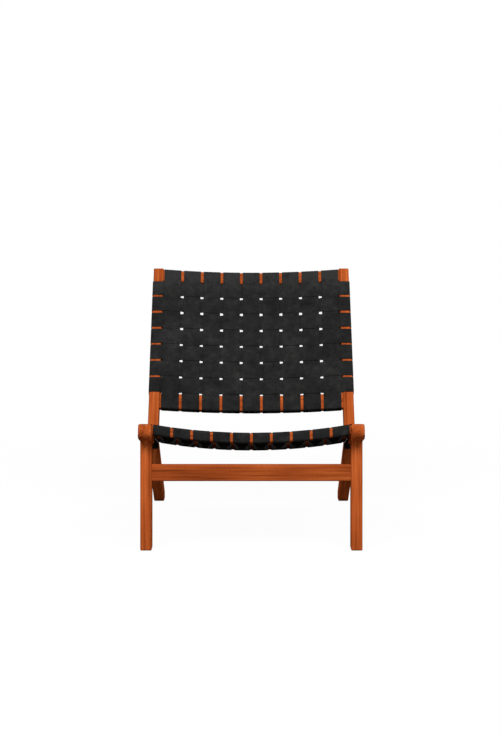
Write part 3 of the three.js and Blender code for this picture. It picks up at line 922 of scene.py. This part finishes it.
for side, sign in (("right", 1), ("left", -1)):
    inner = Vector((-sign, 0, 0))
    spots = [
        (on_side(sign * (leg_inner_x - tack_face), back_line, -place + share * back_weft_width,
                 strap_tail - tack_inset - leg_depth), inner)
        for place in back_weft_places
        for share in tack_shares
    ]
    tack_row(f"back_post_tacks_{side}", spots)
    spots = []
    for row, place in enumerate(seat_weft_places):
        for share in tack_shares:
            if seat_wefts_over_leg[row]:
                x, rise, outward = rail_outer_x + tack_face, arris + tack_inset, -inner
            else:
                x, rise, outward = rail_inner_x - tack_face, strap_tail - tack_inset, inner
            spot = on_side(sign * x, rail_line, place + share * seat_strap_width, rise)
            spots.append((spot, outward))
    tack_row(f"seat_rail_tacks_{side}", spots)

seat_tack_rows = (("front", field_start + tack_face, 1), ("rear", rear_bar_front - tack_face, -1))
for name, a, facing in seat_tack_rows:
    spots = []
    for x in seat_warp_places:
        for share in tack_shares:
            at = x + share * seat_strap_width
            spots.append((
                on_side(at, seat_line, a, tail_end - tack_inset - seat_sag(at)),
                facing * along_side(seat_line.along),
            ))
    tack_row(f"seat_{name}_bar_tacks", spots)
bpy.data.objects.remove(tack)

# The stage is a sheet of seamless white paper under broad soft lamps. The paper looks white from
# near to far and keeps a faint shadow round the chair. It throws little light back up, so that the
# undersides stay dark.
paper_width = 24
paper_white = (1, 1, 1, 1)
paper_bounce = (0.25, 0.25, 0.25, 1)  # the paper as it lights the chair
shadow_reach = (1.0, 2.4)  # over which the shadow fades out, from the chair's middle
shadow_white_share = 0.965  # of plain white, where the shadow is full
ambient = 0.07  # strength of the light from all round
lamp_aim = (0, 0, 0.4)  # the middle of the chair

deselect()
bpy.ops.mesh.primitive_plane_add(size=paper_width)
floor = bpy.context.object
floor.name = "studio_floor"


def seen_by(recipe, *rays):
    """1 for these kinds of rays, which see the background, and 0 for those that light the chair."""
    seen, *others = [recipe.node("ShaderNodeLightPath", output=f"Is {ray} Ray") for ray in rays]
    for other in others:
        seen = recipe.node("ShaderNodeMath", {"operation": "MAXIMUM"}, {0: seen, 1: other})
    return seen


paper = Recipe(bpy.data.materials.new("studio_paper"))
pale = paper.node("ShaderNodeBsdfDiffuse", inputs={"Color": paper_white})
dim = paper.node("ShaderNodeBsdfDiffuse", inputs={"Color": paper_bounce})
bounce = paper.node("ShaderNodeLightPath", output="Is Diffuse Ray")
lit = paper.node("ShaderNodeMixShader", inputs={0: bounce, 1: pale, 2: dim})
place = paper.node("ShaderNodeTexCoord", output="Object")
reach = paper.node("ShaderNodeVectorMath", {"operation": "LENGTH"}, {0: place}, output="Value")
white_share = paper.spread(reach, *shadow_reach, shadow_white_share, 1)
seen = seen_by(paper, "Camera", "Glossy", "Transmission")
white = paper.node("ShaderNodeEmission", inputs={"Color": paper_white, "Strength": 1})
mixed = paper.node("ShaderNodeMixShader", inputs={0: seen * white_share, 1: lit, 2: white})
paper.node("ShaderNodeOutputMaterial", inputs={"Surface": mixed})
floor.data.materials.append(paper.owner)

sky = Recipe(bpy.data.worlds.new("studio"))
strength = sky.spread(seen_by(sky, "Camera", "Transmission"), 0, 1, ambient, 1)
surround = sky.node("ShaderNodeBackground", inputs={"Color": paper_white, "Strength": strength})
sky.node("ShaderNodeOutputWorld", inputs={"Surface": surround})
bpy.context.scene.world = sky.owner


def lamp(name, place, size, power):
    """A broad oblong lamp that faces the chair, with its power in watts."""
    data = bpy.data.lights.new(name, "AREA")
    data.shape = "RECTANGLE"
    data.size, data.size_y = size
    data.energy = power
    made = bpy.data.objects.new(name, data)
    bpy.context.collection.objects.link(made)
    made.location = place
    made.rotation_euler = (Vector(lamp_aim) - Vector(place)).to_track_quat("-Z", "Y").to_euler()


lamp("overhead", place=(0, -0.6, 3.2), size=(3.0, 3.0), power=12)
lamp("front_left", place=(-1.8, -2.6, 3.6), size=(1.8, 1.3), power=114)
lamp("front_right", place=(1.8, -2.6, 3.6), size=(1.8, 1.3), power=114)
lamp("front_fill", place=(0, -4.2, 1.7), size=(1.6, 0.8), power=8)
lamp("rear", place=(0, 3.4, 2.0), size=(2.4, 1.4), power=26)

# The camera stands a little over four metres in front of the chair, above the top of its back,
# and looks down at it through a short telephoto lens.
camera_distance = 4.284  # from the front feet
camera_height = 1.129
camera_aside = -0.004
camera_tilt = 8.1  # degrees below level
lens_mm = 72.3

camera_data = bpy.data.cameras.new("camera")
camera_data.lens = lens_mm
camera = bpy.data.objects.new("camera", camera_data)
bpy.context.collection.objects.link(camera)
camera.location = (camera_aside, origin_y - camera_distance, camera_height)
camera.rotation_euler = (math.radians(90 - camera_tilt), 0, 0)
bpy.context.scene.camera = camera

bpy.context.scene.view_settings.view_transform = "Standard"
